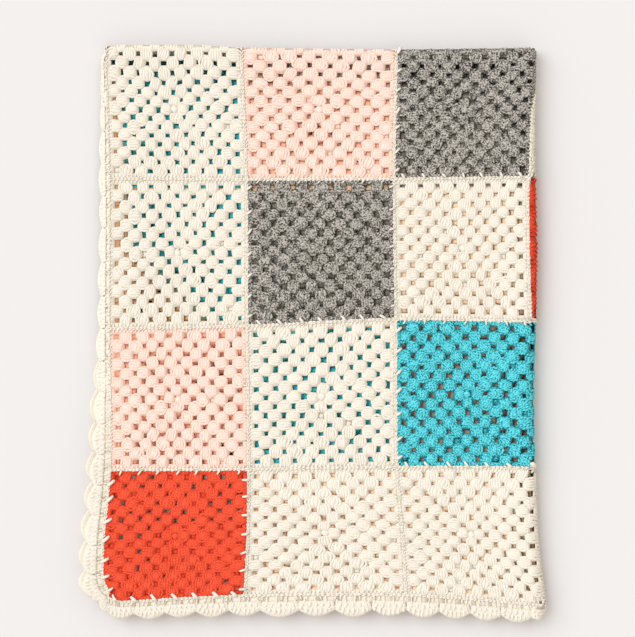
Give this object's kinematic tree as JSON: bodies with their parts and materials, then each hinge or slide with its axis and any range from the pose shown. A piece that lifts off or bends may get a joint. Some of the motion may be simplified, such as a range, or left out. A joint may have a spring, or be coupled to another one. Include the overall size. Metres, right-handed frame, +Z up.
{
  "type": "crochet throw blanket",
  "caption": "A crochet throw of granny squares in cream, pink, grey, teal and red with a scalloped cream border, folded in quarters and lying flat.",
  "frame": {"origin": "on the surface that the folded pile lies on, under the middle of its outline", "axes": "+X towards the lengthways fold, +Y towards the crosswise fold, +Z up through the pile"},
  "size_m": [0.6399, 0.7779, 0.0274],
  "materials": {
    "cream_yarn": "matt crocheted yarn",
    "pink_yarn": "matt crocheted yarn",
    "grey_yarn": "matt marled crocheted yarn",
    "teal_yarn": "matt crocheted yarn",
    "red_yarn": "matt crocheted yarn"
  },
  "bodies": {
    "root": {"square_r1c1": "grey_yarn", "square_r1c2": "pink_yarn", "square_r1c3": "cream_yarn", "square_r1c4": "cream_yarn", "square_r1c5": "teal_yarn", "square_r1c6": "cream_yarn", "square_r2c1": "pink_yarn", "square_r2c2": "teal_yarn", "square_r2c3": "cream_yarn", "square_r2c4": "red_yarn", "square_r2c5": "cream_yarn", "square_r2c6": "grey_yarn", "square_r3c1": "teal_yarn", "square_r3c2": "grey_yarn", "square_r3c3": "cream_yarn", "square_r3c4": "cream_yarn", "square_r3c5": "pink_yarn", "square_r3c6": "cream_yarn", "square_r4c1": "teal_yarn", "square_r4c2": "cream_yarn", "square_r4c3": "grey_yarn", "square_r4c4": "cream_yarn", "square_r4c5": "cream_yarn", "square_r4c6": "red_yarn", "square_r5c1": "cream_yarn", "square_r5c2": "pink_yarn", "square_r5c3": "grey_yarn", "square_r5c4": "cream_yarn", "square_r5c5": "teal_yarn", "square_r5c6": "cream_yarn", "square_r6c1": "cream_yarn", "square_r6c2": "grey_yarn", "square_r6c3": "cream_yarn", "square_r6c4": "red_yarn", "square_r6c5": "cream_yarn", "square_r6c6": "pink_yarn", "square_r7c1": "pink_yarn", "square_r7c2": "cream_yarn", "square_r7c3": "teal_yarn", "square_r7c4": "cream_yarn", "square_r7c5": "grey_yarn", "square_r7c6": "cream_yarn", "square_r8c1": "red_yarn", "square_r8c2": "cream_yarn", "square_r8c3": "cream_yarn", "square_r8c4": "cream_yarn", "square_r8c5": "pink_yarn", "square_r8c6": "grey_yarn", "scalloped_border": "cream_yarn"}
  },
  "joints": []
}
